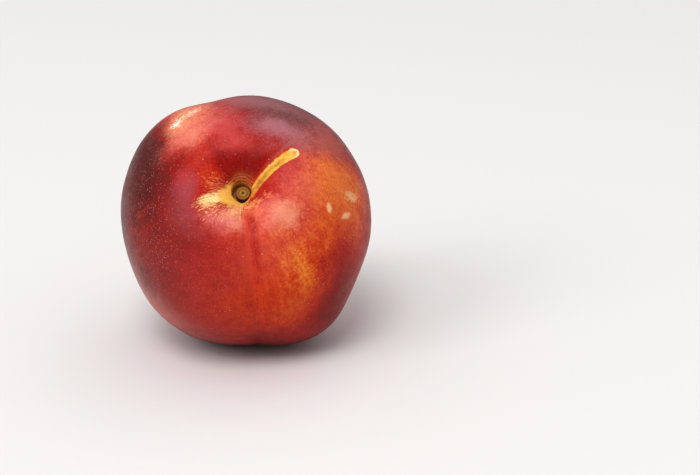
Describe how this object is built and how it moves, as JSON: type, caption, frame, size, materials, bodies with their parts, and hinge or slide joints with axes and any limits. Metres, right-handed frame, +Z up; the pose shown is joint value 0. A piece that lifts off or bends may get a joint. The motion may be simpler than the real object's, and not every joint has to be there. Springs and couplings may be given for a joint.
{
  "type": "nectarine",
  "caption": "Whole ripe nectarine lying on its side, with a suture groove, a deep stalk cavity and the woody stub of its stalk in the pit of the cavity.",
  "frame": {"origin": "middle of the bounding box seen from above, on the surface that the fruit lies on", "axes": "+Z is up as the fruit lies. The stalk end faces -Y and points 39.5 degrees above the surface, the crown is towards +Z and +Y, and +X is the right cheek for someone who looks at the stalk end."},
  "size_m": [0.0706, 0.071, 0.0703],
  "materials": {
    "skin": "smooth waxy peel with a soft sheen, deep red with maroon, orange and yellow areas",
    "stalk_wood": "dry bare wood, matt and brown with a darker middle"
  },
  "bodies": {
    "root": {"fruit": "skin", "stalk_stub": "stalk_wood"}
  },
  "joints": []
}
